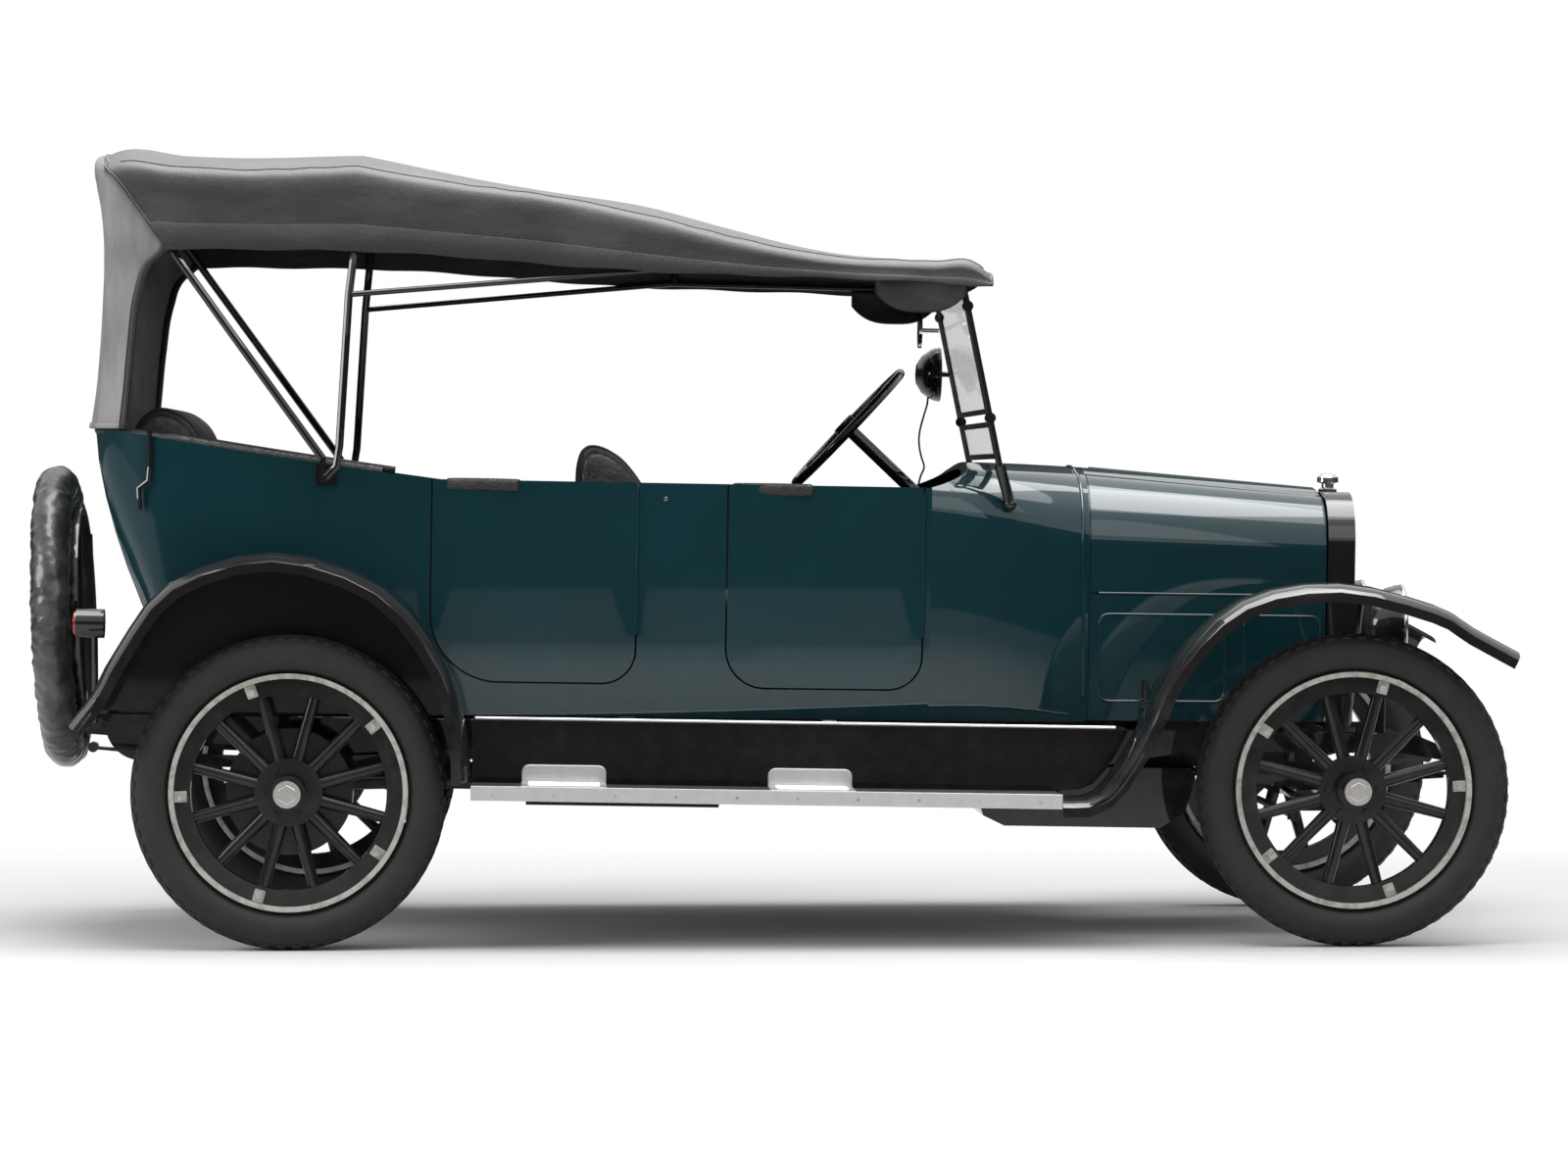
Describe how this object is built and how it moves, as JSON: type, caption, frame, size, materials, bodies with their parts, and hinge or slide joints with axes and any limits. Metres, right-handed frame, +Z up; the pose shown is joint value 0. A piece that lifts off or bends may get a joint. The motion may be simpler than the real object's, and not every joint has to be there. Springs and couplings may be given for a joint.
{
  "type": "touring car",
  "caption": "Open touring car with a cloth top on bows, wooden spoke wheels, running boards and a covered spare wheel at the tail.",
  "frame": {"origin": "on the ground, midway along and across the car", "axes": "+X towards the radiator, +Y to the car's left, +Z up"},
  "size_m": [4.0859, 1.676, 2.1941],
  "materials": {
    "body_paint": "gloss",
    "black_enamel": "gloss",
    "wheel_wood": "gloss",
    "rim_paint": "satin",
    "tyre_rubber": "matte",
    "nickel": "polished",
    "aluminium": "satin",
    "top_cloth": "matte",
    "curtain_cloth": "matte",
    "seat_leather": "satin",
    "cover_cloth": "satin",
    "clear_glass": "polished",
    "mirror_glass": "polished",
    "iron": "matte",
    "board_wood": "satin",
    "core_brass": "matte"
  },
  "bodies": {
    "car": {"frame": "black_enamel", "springs": "black_enamel", "front_axle": "black_enamel", "rear_axle": "black_enamel", "engine": "iron", "underpan": "black_enamel", "exhaust": "iron", "fuel_tank": "black_enamel", "radiator_shell": "black_enamel", "radiator_core": "core_brass", "radiator_cap": "nickel", "bonnet_top_panels": "body_paint", "bonnet_side_panels": "body_paint", "scuttle": "body_paint", "body_sides": "body_paint", "body_tail": "body_paint", "floor_boards": "board_wood", "instrument_board": "board_wood", "front_seat": "seat_leather", "rear_seat": "seat_leather", "windscreen_frame": "black_enamel", "windscreen_glass": "clear_glass", "steering_column": "black_enamel", "driver_controls": "black_enamel", "top_cover": "top_cloth", "rear_curtain": "curtain_cloth", "top_bows": "black_enamel", "front_wings": "black_enamel", "rear_wings": "black_enamel", "running_boards": "black_enamel", "splash_aprons": "black_enamel", "step_plates": "aluminium", "lamps": "black_enamel", "headlamp_glasses": "clear_glass", "rear_view_mirror": "mirror_glass", "spare_carrier": "black_enamel", "spare_rim": "rim_paint", "spare_cover": "cover_cloth"},
    "front_left_wheel": {"wheel_front_left": "wheel_wood", "tyre_front_left": "tyre_rubber"},
    "rear_left_wheel": {"wheel_rear_left": "wheel_wood", "tyre_rear_left": "tyre_rubber"},
    "front_left_door": {"front_door_left": "body_paint"},
    "rear_left_door": {"rear_door_left": "body_paint"},
    "left_knuckle": {"knuckle_left": "iron"},
    "front_right_wheel": {"wheel_front_right": "wheel_wood", "tyre_front_right": "tyre_rubber"},
    "rear_right_wheel": {"wheel_rear_right": "wheel_wood", "tyre_rear_right": "tyre_rubber"},
    "front_right_door": {"front_door_right": "body_paint"},
    "rear_right_door": {"rear_door_right": "body_paint"},
    "right_knuckle": {"knuckle_right": "iron"},
    "steering_rod": {"tie_rod": "iron"},
    "hand_wheel": {"steering_wheel": "black_enamel"}
  },
  "joints": [
    {"name": "left_steer", "type": "hinge", "parent": "car", "child": "left_knuckle", "pos_m": [1.594, 0.636, 0.428], "axis": [0, 0, 1], "range_deg": [-30, 30]},
    {"name": "front_left_spin", "type": "hinge", "parent": "left_knuckle", "child": "front_left_wheel", "pos_m": [1.594, 0.711, 0.428], "axis": [0, 1, 0], "continuous": true},
    {"name": "rear_left_spin", "type": "hinge", "parent": "car", "child": "rear_left_wheel", "pos_m": [-1.302, 0.711, 0.428], "axis": [0, 1, 0], "continuous": true},
    {"name": "front_left_door_swing", "type": "hinge", "parent": "car", "child": "front_left_door", "pos_m": [0.43291, 0.54049, 1.03781], "axis": [-0.0175, 0, -0.9998], "range_deg": [0, 75]},
    {"name": "rear_left_door_swing", "type": "hinge", "parent": "car", "child": "rear_left_door", "pos_m": [-0.35697, 0.61014, 1.0516], "axis": [-0.0175, 0, -0.9998], "range_deg": [0, 75]},
    {"name": "right_steer", "type": "hinge", "parent": "car", "child": "right_knuckle", "pos_m": [1.594, -0.636, 0.428], "axis": [0, 0, 1], "range_deg": [-30, 30]},
    {"name": "front_right_spin", "type": "hinge", "parent": "right_knuckle", "child": "front_right_wheel", "pos_m": [1.594, -0.711, 0.428], "axis": [0, 1, 0], "continuous": true},
    {"name": "rear_right_spin", "type": "hinge", "parent": "car", "child": "rear_right_wheel", "pos_m": [-1.302, -0.711, 0.428], "axis": [0, 1, 0], "continuous": true},
    {"name": "front_right_door_swing", "type": "hinge", "parent": "car", "child": "front_right_door", "pos_m": [0.43291, -0.54049, 1.03781], "axis": [0.0175, 0, 0.9998], "range_deg": [0, 75]},
    {"name": "rear_right_door_swing", "type": "hinge", "parent": "car", "child": "rear_right_door", "pos_m": [-0.35697, -0.61014, 1.0516], "axis": [0.0175, 0, 0.9998], "range_deg": [0, 75]},
    {"name": "rod_swing", "type": "hinge", "parent": "left_knuckle", "child": "steering_rod", "pos_m": [1.444, 0.636, 0.36], "axis": [0, 0, 1], "range_deg": [-30, 30]},
    {"name": "hand_wheel_turn", "type": "hinge", "parent": "car", "child": "hand_wheel", "pos_m": [0.27363, 0.35, 1.42465], "axis": [-0.7242, 0, 0.6896], "range_deg": [-360, 360]}
  ],
  "couplings": [
    {"joint": "right_steer", "follows": "left_steer", "ratio": 1},
    {"joint": "rod_swing", "follows": "left_steer", "ratio": -1},
    {"joint": "hand_wheel_turn", "follows": "left_steer", "ratio": 12}
  ]
}
